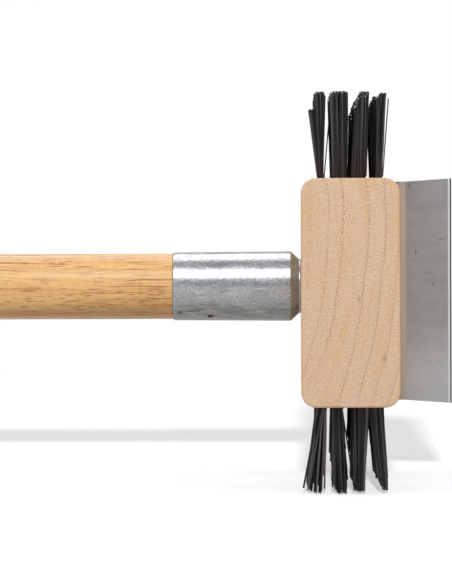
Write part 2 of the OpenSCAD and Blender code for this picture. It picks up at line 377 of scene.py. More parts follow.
def maple():
    """Sanded light maple. Its growth rings run round an axis along Y, behind the handle's side."""
    half_width = (block_high.x - block_low.x) / 2
    half_height = (block_high.z - block_low.z) / 2
    ring_axis = Vector((block_low.x - 162 * MM, 0, block_low.z + 68.7 * MM))
    # Dark lines by their distance from the axis in millimetres, and how dark each is from 0 to 1.
    ring_lines = {
        166.0: 0.25,
        172.7: 0.8,
        178.2: 0.2,
        188.2: 0.9,
        194.9: 1.0,
        200.6: 0.75,
        206.6: 0.9,
    }
    pore_line = 178.0
    span_low = 160.0
    span = 52.0
    before_line = 0.030
    line_edge = 0.010
    ground = tint(220, 186, 154)
    late = tint(194, 156, 128)

    s = Surface("maple_wood")
    x, y, z = s.parts(s.vector("SUBTRACT", s.place, tuple(ring_axis)))
    radius = s.vector("LENGTH", s.whole(x, 0.0, z), output="Value")
    wander = s.math("SUBTRACT", s.noise(38, 5, 38, detail=1), 0.5)
    ripple = s.math("SUBTRACT", s.noise(420, 9, 420), 0.5)
    radius_mm = s.math("MULTIPLY", radius, 1000.0)
    radius_mm = s.math("MULTIPLY_ADD", wander, 3.4, radius_mm)
    radius_mm = s.math("MULTIPLY_ADD", ripple, 0.35, radius_mm)

    stops = [(0.0, ground)]
    for line, strength in ring_lines.items():
        at = (line - span_low) / span
        dark = Vector(ground).lerp(Vector(late), strength)
        dusk = Vector(ground).lerp(Vector(late), 0.2 * strength)
        stops.append((at - before_line, ground))
        stops.append((at - line_edge, tuple(dusk)))
        stops.append((at, tuple(dark)))
        stops.append((at + line_edge, ground))
    rings = s.ramp(s.math("DIVIDE", s.math("SUBTRACT", radius_mm, span_low), span), stops)

    angle = s.math("ARCTAN2", z, x)
    turned = s.whole(s.math("MULTIPLY", angle, 0.18), y, radius)
    patches = s.noise(38, 8, 240, detail=3, roughness=0.6, place=turned)
    colour = s.mix(s.between(patches, 0.46, 0.66, 0.0, 0.62), rings, tint(219, 177, 128))
    colour = s.mix(s.between(patches, 0.44, 0.30, 0.0, 0.5), colour, tint(221, 189, 161))
    fibres = s.noise(1500, 50, 1500, detail=3, roughness=0.75)
    colour = s.mix(s.between(fibres, 0.52, 0.68, 0.0, 0.8), colour, tint(190, 142, 94))
    colour = s.mix(s.between(fibres, 0.48, 0.32, 0.0, 0.7), colour, tint(238, 212, 186))
    rays = s.noise(1300, 50, 130, detail=1, place=turned)
    colour = s.mix(s.between(rays, 0.56, 0.72, 0.0, 0.4), colour, tint(230, 200, 172))

    pore_band = s.math("ABSOLUTE", s.math("SUBTRACT", radius_mm, pore_line))
    pores = s.between(s.noise(1900, 70, 1500, detail=1), 0.50, 0.60)
    pores = s.math("MULTIPLY", pores, s.between(pore_band, 0.8, 0.1))
    faded = s.between(s.parts(s.place)[2], block_low.z + 14 * MM, block_low.z + 30 * MM)
    pores = s.math("MULTIPLY", pores, faded)
    colour = s.mix(s.math("MULTIPLY", pores, 0.75), colour, tint(184, 112, 58))

    bruise = s.math("MULTIPLY_ADD", s.math("SUBTRACT", fibres, 0.5), 0.5, s.cells(75, 30, 48))
    specks = s.between(bruise, 0.075, 0.02, 0.0, 0.5)
    colour = s.mix(specks, colour, tint(142, 104, 84))
    x, y, z = s.parts(s.place)
    # A darker rim round the block's outline: painted shade on its rounded edges.
    across = s.math("ABSOLUTE", s.math("SUBTRACT", x, block_middle.x))
    along = s.math("ABSOLUTE", s.math("SUBTRACT", z, block_middle.z))
    painted_rim_shade = s.math("MAXIMUM", s.math("ADD", across, half_height - half_width), along)
    painted_rim_shade = s.math("MULTIPLY_ADD", s.math("SUBTRACT", patches, 0.5), 3 * MM, painted_rim_shade)
    painted_rim_shade = s.between(painted_rim_shade, half_height - 1.0 * MM, half_height)
    colour = s.mix(s.math("MULTIPLY", painted_rim_shade, 0.3), colour, tint(200, 150, 104))
    s.set(Base_Color=colour)
    s.set(Roughness=s.between(fibres, 0.2, 0.8, 0.52, 0.68))
    s.set(Specular_IOR_Level=0.32)
    s.set(Normal=s.bump(fibres, 0.00006, s.bump(rays, 0.00005)))
    return s.material


def lacquered_wood():
    """Golden open-pored hardwood with its grain along X, under a clear lacquer."""
    s = Surface("lacquered_wood")
    x, y, z = s.parts(s.place)
    drift = s.math("MULTIPLY", s.math("SUBTRACT", s.noise(19, 70, 70, detail=2), 0.5), 0.0045)
    grain = s.whole(x, s.math("ADD", y, drift), s.math("ADD", z, drift))

    bands = s.noise(5, 190, 190, detail=3, place=grain)
    colour = s.ramp(bands, [
        (0.30, tint(208, 147, 77)),
        (0.44, tint(233, 180, 107)),
        (0.56, tint(241, 193, 123)),
        (0.72, tint(214, 155, 86)),
    ])
    fibres = s.noise(60, 1300, 1300, detail=3, roughness=0.7, place=grain)
    colour = s.mix(s.between(fibres, 0.52, 0.7, 0.0, 0.6), colour, tint(178, 112, 56))
    colour = s.mix(s.between(fibres, 0.48, 0.3, 0.0, 0.5), colour, tint(246, 200, 136))

    crowd = s.between(s.noise(16, 110, 110, detail=2, place=grain), 0.42, 0.62)
    short = s.between(s.cells(150, 1250, 1250, place=grain), 0.34, 0.16)
    long = s.between(s.cells(48, 900, 900, place=grain), 0.27, 0.12)
    pores = s.math("MAXIMUM", s.math("MULTIPLY", short, crowd), s.math("MULTIPLY", long, 0.8))
    pores = s.math("MULTIPLY", pores, s.between(fibres, 0.25, 0.55, 0.4, 1.0))
    colour = s.mix(s.math("MULTIPLY", pores, 0.85), colour, tint(132, 74, 40))

    lines = s.noise(14, 620, 620, detail=3, place=grain)
    lines = s.between(lines, 0.59, 0.68)
    colour = s.mix(s.math("MULTIPLY", lines, 0.65), colour, tint(150, 90, 48))

    # A darker band low on the camera's side, following the grain bands: darker grain together with
    # painted shade on the handle's underside.
    under = s.between(z, axis_z - 6.5 * MM, axis_z - 10.5 * MM)
    under = s.math("MULTIPLY", under, s.between(y, 0.0, -3 * MM))
    under = s.math("MULTIPLY", under, s.between(bands, 0.62, 0.42, 0.2, 0.45))
    colour = s.mix(under, colour, tint(146, 92, 52))

    ticks = s.noise(900, 180, 180, detail=2)
    colour = s.mix(s.between(ticks, 0.56, 0.72, 0.0, 0.3), colour, tint(198, 136, 78))
    s.set(Base_Color=colour)
    s.set(Roughness=0.5)
    s.set(Coat_Weight=0.55)
    s.set(Coat_Roughness=0.12)
    dents = s.math("SUBTRACT", fibres, s.math("MULTIPLY", pores, 0.8))
    s.set(Normal=s.bump(dents, 0.00005))
    return s.material


# Dark scuffs low on the sleeve, in millimetres: from its mouth, down from its axis, half as long
# along X and half as wide along Z.
SLEEVE_SCUFFS = (
    (3.1, 10.3, 1.4, 0.8),
    (10.6, 9.7, 0.9, 0.5),
    (7.5, 9.9, 3.4, 0.4),
)


def tumbled_zinc():
    """Semi-bright metal with the fine grain, dents and scuffs that tumbling leaves."""
    s = Surface("tumbled_zinc")
    x, y, z = s.parts(s.place)
    pebbles = s.noise(800, 800, 800, detail=1)
    grain = s.noise(1700, 1700, 1700, detail=2, roughness=0.6)
    clouds = s.noise(90, 230, 230, detail=3, roughness=0.6)
    streaks = s.noise(150, 900, 900, detail=3, roughness=0.7)
    tone = s.ramp(clouds, [
        (0.25, (0.52, 0.52, 0.53)),
        (0.5, (0.63, 0.63, 0.63)),
        (0.75, (0.73, 0.73, 0.72)),
    ])
    tone = s.mix(s.between(streaks, 0.54, 0.70, 0.0, 0.55), tone, (0.92, 0.91, 0.89))
    tone = s.mix(s.between(streaks, 0.44, 0.30, 0.0, 0.5), tone, (0.27, 0.27, 0.275))
    speckle = s.ramp(grain, [(0.36, (0.62, 0.63, 0.65)), (0.64, (1.0, 1.0, 0.99))])
    tone = s.mix(0.9, tone, speckle, "MULTIPLY")

    # Darker low on the camera's side: painted shade where the sleeve's underside reflects the shaded
    # floor beneath the brush.
    low = s.math("MULTIPLY_ADD", s.math("SUBTRACT", clouds, 0.5), 6 * MM, z)
    painted_under_shade = s.between(low, axis_z - 6.5 * MM, axis_z - 9 * MM)
    painted_under_shade = s.math("MULTIPLY", painted_under_shade, s.between(y, 0.0, -2 * MM))
    painted_under_shade = s.math("MULTIPLY", painted_under_shade, s.between(streaks, 0.62, 0.38, 0.4, 0.85))
    tone = s.mix(painted_under_shade, tone, (0.27, 0.26, 0.24))
    for along, drop, length, width in SLEEVE_SCUFFS:
        middle = (mouth_x + along * MM, axis_z - drop * MM)
        scuff = s.mark(x, z, middle, length * MM, width * MM, clouds)
        tone = s.mix(scuff, tone, (0.16, 0.15, 0.14))

    # The cone is painted brighter and bluer than the sleeve: painted light that offsets its dim, warm
    # reflection of the block. The dimple is painted dark brown.
    cone_x = shoulder_x - cone_length
    cone = s.between(x, cone_x - 0.2 * MM, cone_x + 0.2 * MM)
    tone = s.mix(cone, tone, s.mix(1.0, tone, (1.14, 1.30, 1.54), "MULTIPLY"))
    # A dark brown patch painted in and round the dimple.
    dimple_darkening = s.vector("DISTANCE", s.place, tuple(dimple_place()), output="Value")
    dimple_darkening = s.math("MULTIPLY_ADD", s.math("SUBTRACT", pebbles, 0.5), 0.6 * MM, dimple_darkening)
    tone = s.mix(s.between(dimple_darkening, 1.5 * MM, 1.0 * MM), tone, (0.075, 0.045, 0.03))
    s.set(Base_Color=tone)
    s.set(Metallic=1.0)
    s.set(Roughness=s.between(clouds, 0.3, 0.7, 0.20, 0.31))
    s.set(Normal=s.bump(grain, 0.00005, s.bump(pebbles, 0.00005)))
    return s.material


def bright_steel(name, tone, roughness):
    """Turned or drawn steel with fine marks."""
    s = Surface(name)
    marks = s.noise(900, 2600, 2600, detail=2)
    s.set(Base_Color=s.ramp(marks, [(0.3, tuple(0.85 * c for c in tone)), (0.7, tone)]))
    s.set(Metallic=1.0)
    s.set(Roughness=s.between(marks, 0.3, 0.7, roughness * 0.8, roughness * 1.2))
    s.set(Normal=s.bump(marks, 0.00001))
    return s.material


# Small dark marks on the scraper, in millimetres: from its root, down from its top, half as long
# along X, half as wide along Z, and how dark they are from 0 to 1.
SCRAPER_MARKS = (
    (5.6, 3.2, 0.5, 1.4, 0.6),
    (8.1, 29.5, 0.32, 1.6, 0.85),
    (18.3, 24.5, 2.4, 0.5, 0.35),
    (17.0, 26.5, 1.8, 0.4, 0.3),
    (15.0, 43.0, 0.9, 1.0, 0.4),
    (10.8, 57.5, 0.4, 0.5, 0.6),
    (13.5, 38.5, 2.4, 0.6, 0.22),
)


def satin_stainless():
    """Rolled satin sheet: faint grain along Z, smears, dark marks, a foot painted lighter as a
    painted floor reflection, a dull root painted brownish as a painted reflection of the wood, and an
    edge with a painted highlight and painted shade.
    """
    s = Surface("satin_stainless")
    x, y, z = s.parts(s.place)
    grain = s.noise(2600, 2600, 70, detail=2)
    smears = s.noise(70, 70, 150, detail=2)
    tone = s.ramp(smears, [
        (0.3, (0.385, 0.374, 0.358)),
        (0.55, (0.445, 0.430, 0.413)),
        (0.75, (0.410, 0.398, 0.384)),
    ])
    # The lower part is painted lighter: a painted reflection of the floor.
    foot = s.between(z, block_middle.z - 8 * MM, block_low.z + 8 * MM)
    tone = s.mix(s.math("MULTIPLY", foot, 0.5), tone, (0.78, 0.765, 0.745))
    blots = s.between(s.noise(260, 260, 420, detail=2), 0.68, 0.80, 0.0, 0.45)
    tone = s.mix(blots, tone, (0.24, 0.235, 0.23))

    # The band over the bend beside the block, painted brownish and dull: a painted reflection of the
    # maple block.
    painted_wood_reflection = s.math("MULTIPLY_ADD", s.math("SUBTRACT", grain, 0.5), 0.8 * MM, x)
    painted_wood_reflection = s.between(painted_wood_reflection, front_x + 4.8 * MM, front_x + 3.3 * MM)
    tone = s.mix(painted_wood_reflection, tone, (0.60, 0.495, 0.418))

    ragged = s.noise(1400, 1400, 1400, detail=2)
    for reach, drop, length, width, strength in SCRAPER_MARKS:
        middle = (front_x + reach * MM, blade_high.z - drop * MM)
        spot = s.mark(x, z, middle, length * MM, width * MM, ragged)
        tone = s.mix(s.math("MULTIPLY", spot, strength), tone, (0.13, 0.125, 0.12))
    turn = s.whole(s.math("MULTIPLY_ADD", z, 0.35, x), y, z)
    scratches = s.between(s.cells(230, 230, 62, place=turn), 0.07, 0.045, 0.0, 0.85)
    tone = s.mix(scratches, tone, (0.10, 0.095, 0.09))

    # The ground strip, painted bright as a painted highlight, and past it the edge, painted dark as
    # painted shade.
    ground = s.between(x, blade_high.x - 1.5 * MM, blade_high.x - 1.3 * MM)
    tone = s.mix(ground, tone, (0.86, 0.86, 0.85))
    edge = s.between(x, blade_high.x - 0.7 * MM, blade_high.x - 0.55 * MM)
    tone = s.mix(edge, tone, (0.11, 0.11, 0.11))
    s.set(Base_Color=tone)
    s.set(Metallic=s.math("SUBTRACT", 1.0, painted_wood_reflection))
    s.set(Roughness=s.between(smears, 0.3, 0.7, 0.34, 0.42))

    # The outside of the bend is lit as if it faced ahead, so its band of painted wood reflection
    # stays even in tone.
    outward = s.parts(s.node("ShaderNodeNewGeometry").outputs["Normal"])
    turned = s.math("MULTIPLY", painted_wood_reflection, s.between(outward[0], 0.05, -0.15, 0.0, 0.75))
    kept = s.math("SUBTRACT", 1.0, turned)
    ahead = s.whole(0.0, s.math("MULTIPLY", turned, -1.0), 0.0)
    normal = s.vector("MULTIPLY_ADD", s.bump(grain, 0.000012), s.whole(kept, kept, kept), ahead)
    s.set(Normal=s.vector("NORMALIZE", normal))
    return s.material


def dark_wire():
    """Oil-tempered flat wire: near black, with a soft sheen and brown tinges above the block."""
    s = Surface("dark_wire")
    z = s.parts(s.place)[2]
    root = s.between(s.math("ABSOLUTE", s.math("SUBTRACT", z, block_high.z)), 13 * MM, 0.0)
    tone = s.noise(900, 300, 40, detail=2)
    own = s.node("ShaderNodeNewGeometry").outputs["Random Per Island"]
    colour = s.ramp(own, [
        (0.0, (0.008, 0.0075, 0.0075)),
        (0.5, (0.026, 0.024, 0.023)),
        (0.8, (0.080, 0.076, 0.073)),
        (1.0, (0.175, 0.166, 0.160)),
    ])
    colour = s.mix(s.math("MULTIPLY", root, 0.55), colour, (0.050, 0.026, 0.018))
    s.set(Base_Color=colour)
    s.set(Metallic=0.55)
    s.set(Roughness=s.between(tone, 0.3, 0.7, 0.34, 0.5))
    s.set(Normal=s.bump(s.noise(3000, 3000, 120), 0.00001))
    return s.material


def cut_wire():
    """The cut ends of the wires, bright on some and dull on most."""
    s = Surface("cut_wire")
    own = s.node("ShaderNodeNewGeometry").outputs["Random Per Island"]
    s.set(Base_Color=s.ramp(own, [
        (0.55, (0.08, 0.075, 0.07)),
        (0.75, (0.30, 0.28, 0.26)),
        (0.95, (0.80, 0.76, 0.72)),
    ]))
    s.set(Metallic=0.7)
    s.set(Roughness=0.45)
    return s.material


def copper_wire():
    """The one reddish wire among the lower tufts."""
    return bright_steel("copper_wire", (0.20, 0.135, 0.11), 0.45)


# ---- Pieces ----


def build_block():
    """Maple block with rounded edges, tuft holes, the threaded socket and the screw holes."""
    half_width = (block_high.x - block_low.x) / 2
    half_height = (block_high.z - block_low.z) / 2
    steps = 5
    rings = []
    stations = []
    for step in range(steps + 1):
        turn = math.pi / 2 * step / steps
        stations.append((end_radius * (1 - math.sin(turn)), end_radius * (1 - math.cos(turn))))
    near = [(inset, block_low.y + depth) for inset, depth in stations]
    far = [(inset, block_high.y - depth) for inset, depth in reversed(stations)]
    for inset, y in near + far:
        w = half_width - inset
        h = half_height - inset
        r = edge_radius - inset
        corners = [(-w, -h, r), (w, -h, r), (w, h, r), (-w, h, r)]
        outline = rounded(corners, steps=10)
        rings.append([(block_middle.x + a, y, block_middle.z + b) for a, b in outline])
    block = new_object("maple_block", *loft(rings))

    lip = 0.5 * MM
    hole = [(-tuft_hole_depth, tuft_hole_radius), (0, tuft_hole_radius), (lip, tuft_hole_radius)]
    cutters = []
    for name, side in sides.items():
        face_z = block_high.z if side > 0 else block_low.z
        for row in rows:
            for spot in tuft_places(name, row):
                cutters.append(rod((spot.x, spot.y, face_z), (0, 0, side), hole, 20))
    socket = [(-1 * MM, socket_radius + 1 * MM), (0, socket_radius + 0.4 * MM)]
    socket += [(0.4 * MM, socket_radius), (socket_depth, socket_radius)]
    cutters.append(rod((block_low.x, 0, axis_z), (1, 0, 0), socket, 96))
    for centre in screw_places():
        shank = [(-15 * MM, screw_radius), (1 * MM, screw_radius)]
        cutters.append(rod(centre, (1, 0, 0), shank, 24))
    combine(block, cutters)
    smooth(block)
    paint(block, maple())
    place(block, "head", "block_maple", "head_block")


def tuft_places(side_name, row):
    """Where the tufts of a row leave the block."""
    low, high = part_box(f"{side_name}_tufts_row_{row}")
    x = (low.x + high.x) / 2
    first = block_low.y + end_margin
    pitch = (block_high.y - block_low.y - 2 * end_margin) / (tufts_per_row - 1)
    return [Vector((x, first + pitch * k, 0)) for k in range(tufts_per_row)]


def screw_places():
    """Where the screws' axes meet the block's front face."""
    y = (screw_low.y + screw_high.y) / 2
    middle = (screw_low.z + screw_high.z) / 2
    return [Vector((front_x, y, middle + side * screw_spacing / 2)) for side in (-1, 1)]


def build_handle():
    """Turned handle with a rounded free end, the hang hole and the spigot inside the metal tip."""
    start = handle_low.x
    spigot_end = handle_high.x
    hole_x = start + hang_hole_inset
    corners = [(start, 1 * MM, 0), (start, handle_radius, 8 * MM)]
    corners += [(hole_x - 9 * MM, handle_radius, 0), (hole_x + 9 * MM, handle_radius, 0)]
    corners += [(mouth_x - 0.05 * MM, handle_radius, 0.15 * MM)]
    corners += [(mouth_x - 0.05 * MM, spigot_radius, 0)]
    corners += [(spigot_end, spigot_radius, 1 * MM), (spigot_end, 1 * MM, 0)]
    handle = lathe("turned_handle", corners)

    flare = 0.9 * MM
    out = handle_radius + 1 * MM
    hole = [(-out, hang_hole_radius + 2 * flare), (-handle_radius + flare, hang_hole_radius)]
    hole += [(handle_radius - flare, hang_hole_radius), (out, hang_hole_radius + 2 * flare)]
    combine(handle, [rod((hole_x, 0, axis_z), (0, 1, 0), hole, 48)])
    smooth(handle)
    paint(handle, lacquered_wood())
    place(handle, "handle", "handle_wood", "wood_handle")


def thread_ridge():
    """Trapezoid ridge wound round the stud as a right-hand thread, fading in at both ends."""
    per_turn = 48
    turns = 4.25
    flank = math.radians(14.5)
    steps = int(turns * per_turn)
    fade = per_turn / 4
    root = core_radius - 0.5 * MM
    depth = thread_radius - root
    crest = 0.1854 * thread_pitch
    foot = crest + depth * math.tan(flank)
    start_x = ring_high.x + foot
    rings = []
    for i in range(steps + 1):
        turn = 2 * math.pi * i / per_turn
        along = start_x + thread_pitch * i / per_turn
        lift = min(1, 0.05 + i / fade, 0.05 + (steps - i) / fade)
        ring = []
        for rise, offset in ((0, -foot), (1, -crest), (1, crest), (0, foot)):
            radius = root + rise * depth * lift
            # The handle's axis points along X, and a right-hand thread turns from Y to Z along it.
            y = radius * math.cos(turn)
            z = axis_z + radius * math.sin(turn)
            ring.append((along + offset, y, z))
        rings.append(ring)
    return loft(rings)


def build_tip():
    """Metal sleeve with a rolled lip, its cone and the threaded stud."""
    end = tip_high.x
    corners = [
        (mouth_x + bore_depth, 1 * MM, 0),
        (mouth_x + bore_depth, bore_radius, 0.5 * MM),
        (mouth_x, bore_radius, 0.2 * MM),
        (mouth_x, sleeve_mouth_radius, 0.6 * MM),
        (shoulder_x - cone_length, sleeve_front_radius, 0.5 * MM),
        (shoulder_x, shoulder_radius, 0.2 * MM),
        (shoulder_x, core_radius, 0),
        (end, core_radius, 1 * MM),
        (end, 1 * MM, 0),
    ]
    tip = lathe("metal_tip", corners)
    combine(tip, [thread_ridge()], "UNION")

    surface = dimple_place()
    out = (surface - Vector((surface.x, 0, axis_z))).normalized()
    dimple = [(-dimple_depth, 0.35 * dimple_radius), (-0.8 * dimple_depth, 0.7 * dimple_radius)]
    dimple += [(-0.2 * dimple_depth, dimple_radius), (1 * MM, 1.3 * dimple_radius)]
    combine(tip, [rod(surface, out, dimple, 32)])
    smooth(tip)
    paint(tip, tumbled_zinc())
    place(tip, "handle", "tip_metal", "threaded_tip")


def build_ring():
    """Bright washer between the cone and the block."""
    corners = [
        (ring_low.x, ring_bore_radius, 0.1 * MM),
        (ring_low.x, shoulder_radius, 0.2 * MM),
        (ring_high.x, shoulder_radius, 0.2 * MM),
        (ring_high.x, ring_bore_radius, 0.1 * MM),
    ]
    path = rounded(corners, steps=4)
    segments = 144
    vertices = []
    faces = []
    for x, radius in path:
        for i in range(segments):
            turn = 2 * math.pi * i / segments
            vertices.append((x, radius * math.cos(turn), axis_z + radius * math.sin(turn)))
    for step in range(len(path)):
        for i in range(segments):
            j = (i + 1) % segments
            ahead = (step + 1) % len(path)
            here = step * segments
            there = ahead * segments
            faces.append((here + i, here + j, there + j, there + i))
    ring = new_object("bright_ring", vertices, faces)
    smooth(ring)
    paint(ring, bright_steel("bright_ring_steel", (0.62, 0.62, 0.62), 0.3))
    place(ring, "ring", "ring_steel", "spacer_ring")


def build_blade():
    """Bent plate: flange on the block, bend, flared blade and its ground edge."""
    front_y = blade_low.y
    back_y = blade_high.y
    tip_x = blade_high.x
    t = plate_thickness
    middle = (blade_low.z + blade_high.z) / 2
    edge_half_height = (blade_high.z - blade_low.z) / 2
    outline = rounded([
        (front_x, back_y, 0),
        (front_x, front_y, bend_radius),
        (tip_x - 1.5 * MM, front_y, 0),
        (tip_x - 0.65 * MM, front_y + 0.22 * MM, 0),
        (tip_x, front_y + t - 0.3 * MM, 0),
        (tip_x, front_y + t, 0),
        (front_x + t, front_y + t, bend_radius - t),
        (front_x + t, back_y, 0),
    ], steps=10)

    def half_height(x):
        flare = max(0, x - front_x - bend_radius) / (tip_x - front_x - bend_radius)
        return root_half_height + flare * (edge_half_height - root_half_height)

    lower = [(x, y, middle - half_height(x)) for x, y in outline]
    upper = [(x, y, middle + half_height(x)) for x, y in outline]
    blade = new_object("steel_scraper", *loft([lower, upper]))
    cutters = []
    for centre in screw_places():
        hole = [(-1 * MM, screw_radius + 0.2 * MM), (2 * t, screw_radius + 0.2 * MM)]
        cutters.append(rod(centre, (1, 0, 0), hole, 32))
    combine(blade, cutters)
    soften(blade, 0.1 * MM)
    smooth(blade)
    paint(blade, satin_stainless())
    place(blade, "head", "scraper_stainless", "scraper_blade")


def build_screws():
    """Two slotted pan-head wood screws with tapered, threaded shanks."""
    head_radius = 4 * MM
    head_height = 2.6 * MM
    head_rim = 0.9 * MM
    shank = 16 * MM
    point = 4 * MM
    thread_turns = 6
    thread_step = 1.6 * MM
    solids = []
    for centre in screw_places():
        base = centre + Vector((plate_thickness, 0, 0))
        profile = [(-shank, 0.1 * MM), (-shank + point, 0.86 * screw_radius)]
        for turn in range(thread_turns):
            at = -shank + point + turn * thread_step
            profile += [(at + 0.5 * MM, 0.72 * screw_radius), (at + 1.3 * MM, screw_radius)]
        profile += [(-1.6 * MM, 0.9 * screw_radius), (0, 0.9 * screw_radius)]
        profile += [(0, head_radius - 0.1 * MM), (0.15 * MM, head_radius)]
        arc_steps = 10
        for step in range(arc_steps):
            turn = math.pi / 2 * step / arc_steps
            rise = head_rim + (head_height - head_rim) * math.sin(turn)
            profile.append((rise, head_radius * math.cos(turn) ** 0.6))
        solids.append(rod(base, (1, 0, 0), profile, 48))
    screws = new_object("slotted_screws", *joined(solids))

    slot_half = 0.6 * MM
    slot_depth = 1.2 * MM
    slot_turns = (25, -40)
    slots = []
    for number, centre in enumerate(screw_places()):
        base = centre.x + plate_thickness + head_height
        turn = math.radians(slot_turns[number])
        along = Vector((0, math.cos(turn), math.sin(turn)))
        across = Vector((0, -math.sin(turn), math.cos(turn)))
        rings = []
        for x in (base - slot_depth, base + 1 * MM):
            middle = Vector((x, centre.y, centre.z))
            ring = []
            for a, b in ((-1, -1), (1, -1), (1, 1), (-1, 1)):
                ring.append(middle + along * a * 5 * MM + across * b * slot_half)
            rings.append(ring)
        slots.append(loft(rings))
    combine(screws, slots)
    smooth(screws)
    paint(screws, bright_steel("screw_steel", (0.62, 0.62, 0.63), 0.3))
    place(screws, "head", "screw_steel", "scraper_screws")


# ---- Wire tufts ----

WIRE_WIDTH = 0.62 * MM
WIRE_THICKNESS = 0.3 * MM
WIRE_PITCH = 0.95 * WIRE_WIDTH
WIRE_LAYERS = 6

# A wire's turn about itself, in radians, and the shares of its length beyond the block that it
# takes to bend out of its hole and that it has inside the hole.
WIRE_TURN = 0.25
BEND_SHARE = 0.03
BURIED_SHARE = 0.28

# Half the size of the pack of wires: each way in the hole, then along the block just above the
# hole and at the tips, in millimetres like the looks below, as is the margin of half a wire.
PACK_HALF = 1.85 * MM
ROOT_HALF_DEPTH = 1.8
TIP_HALF_DEPTH = 2.6
HALF_WIRE = 0.3

# Each row's look, in millimetres and in shares of the wires' length:
#   root, tip    half the width of its tufts just above the block and at their tips
#   shift, lean  how far along X their middle lies from the hole's, at the same two heights
#   far          how much shorter the farthest tuft is
#   side         how much shorter the wires on the handle's side are
#   ragged       how much the length differs from wire to wire
#   stray        how far the tips stray
#   near         share of the row that counts as near, from the camera's side
#   kept         share of the near tufts' wires that are left
#   clumps       how many bunches the near tufts' wires gather in, with 0 for none
#   far_lean, far_tip  lean and tip of the tufts behind the near ones, where they differ
USUAL_LOOK = dict(far=0.0, side=0.0, ragged=0.04, stray=0.3, near=0.12, kept=1.0, clumps=0)
ROW_LOOKS = {
    ("upper", 1): dict(root=1.1, tip=1.9, shift=-0.4, lean=-1.0, far=0.02),
    ("upper", 2): dict(root=2.8, tip=3.2, shift=-0.4, lean=-0.5),
    ("upper", 3): dict(root=3.15, tip=2.9, shift=-0.15, lean=0.8, side=0.20, ragged=0.05, stray=0.25),
    ("upper", 4): dict(
        root=1.5, tip=1.5, shift=0.4, lean=1.7, far=0.15, ragged=0.03, stray=0.2, far_lean=-0.3
    ),
    ("lower", 1): dict(
        root=2.3, tip=3.2, shift=-0.6, lean=-3.9, far=0.42, side=0.04, ragged=0.05, stray=0.18,
        near=0.2, kept=0.24, clumps=3, far_lean=-0.9, far_tip=1.7
    ),
    ("lower", 2): dict(root=2.2, tip=2.9, shift=-1.6, lean=-0.7, far=0.32, side=0.05, stray=0.35),
    ("lower", 3): dict(
        root=3.4, tip=1.9, shift=0.2, lean=-1.1, far=0.36, side=0.16, ragged=0.07, clumps=4
    ),
    ("lower", 4): dict(
        root=3.0, tip=1.8, shift=-0.8, lean=2.2, far=0.40, side=0.10, far_lean=0.9
    ),
}

# Single wires that stand apart: side, row, tuft, place across the tuft from -1 to 1, lean at the
# tip in millimetres, share of the full length, share of a wire's width, and material number.
STRAYS = (
    ("upper", 1, 0, -1.0, -3.9, 0.75, 1.2, 0),
    ("upper", 1, 0, -0.8, -3.5, 0.76, 1.2, 0),
    ("upper", 1, 0, -0.6, -3.0, 0.77, 1.2, 0),
    ("upper", 1, 1, -1.0, -4.0, 0.78, 1.2, 0),
    ("upper", 1, 1, -0.8, -3.4, 0.78, 1.2, 0),
    ("upper", 1, 1, -0.6, -2.6, 0.79, 1.2, 0),
    ("upper", 1, 2, -1.0, -3.6, 0.80, 1.2, 0),
    ("upper", 1, 2, -0.8, -2.9, 0.80, 1.2, 0),
    ("upper", 1, 3, 0.9, 2.6, 0.93, 0.7, 0),
    ("upper", 4, 2, 1.0, 3.0, 0.92, 0.7, 0),
    ("lower", 1, 0, -0.6, -6.7, 0.93, 1.2, 0),
    ("lower", 1, 0, 0.1, -5.6, 0.91, 1.2, 0),
    ("lower", 1, 0, 0.4, -3.5, 0.98, 1.2, 0),
    ("lower", 1, 0, 0.9, -0.9, 0.94, 1.0, 0),
    ("lower", 1, 0, 0.7, -1.7, 0.97, 0.65, 2),
    ("lower", 2, 0, 1.0, 3.4, 0.96, 0.8, 0),
)


def wire(root, body_shift, tip_shift, side, length, twist, slant, curl=0.0, width=WIRE_WIDTH):
    """One flat wire out of its hole, as vertices and faces; the last face is its cut end.

    It leaves the hole at root, bends to body_shift just above the block and runs to tip_shift.
    """
    rings = []
    for share in (-BURIED_SHARE, -0.01, BEND_SHARE, 0.36, 0.68, 1.0):
        height = share * length
        out = max(0, share)
        rise = min(1, out / BEND_SHARE)
        run = max(0, out - BEND_SHARE) / (1 - BEND_SHARE)
        middle = body_shift * rise + (tip_shift - body_shift) * run
        middle = middle + Vector((curl * math.sin(math.pi * run), 0))
        turn = twist + WIRE_TURN * out
        half = Vector((math.cos(turn), math.sin(turn))) * width / 2
        thin = Vector((-math.sin(turn), math.cos(turn))) * WIRE_THICKNESS / 2
        ring = []
        for a, b in ((-1, -1), (1, -1), (1, 1), (-1, 1)):
            spot = middle + half * a + thin * b
            tilt = slant * (a + b) - 2 * abs(slant) if share == 1 else 0
            ring.append((root.x + spot.x, root.y + spot.y, root.z + side * (height + tilt)))
        rings.append(ring if side > 0 else list(reversed(ring)))
    return loft(rings)


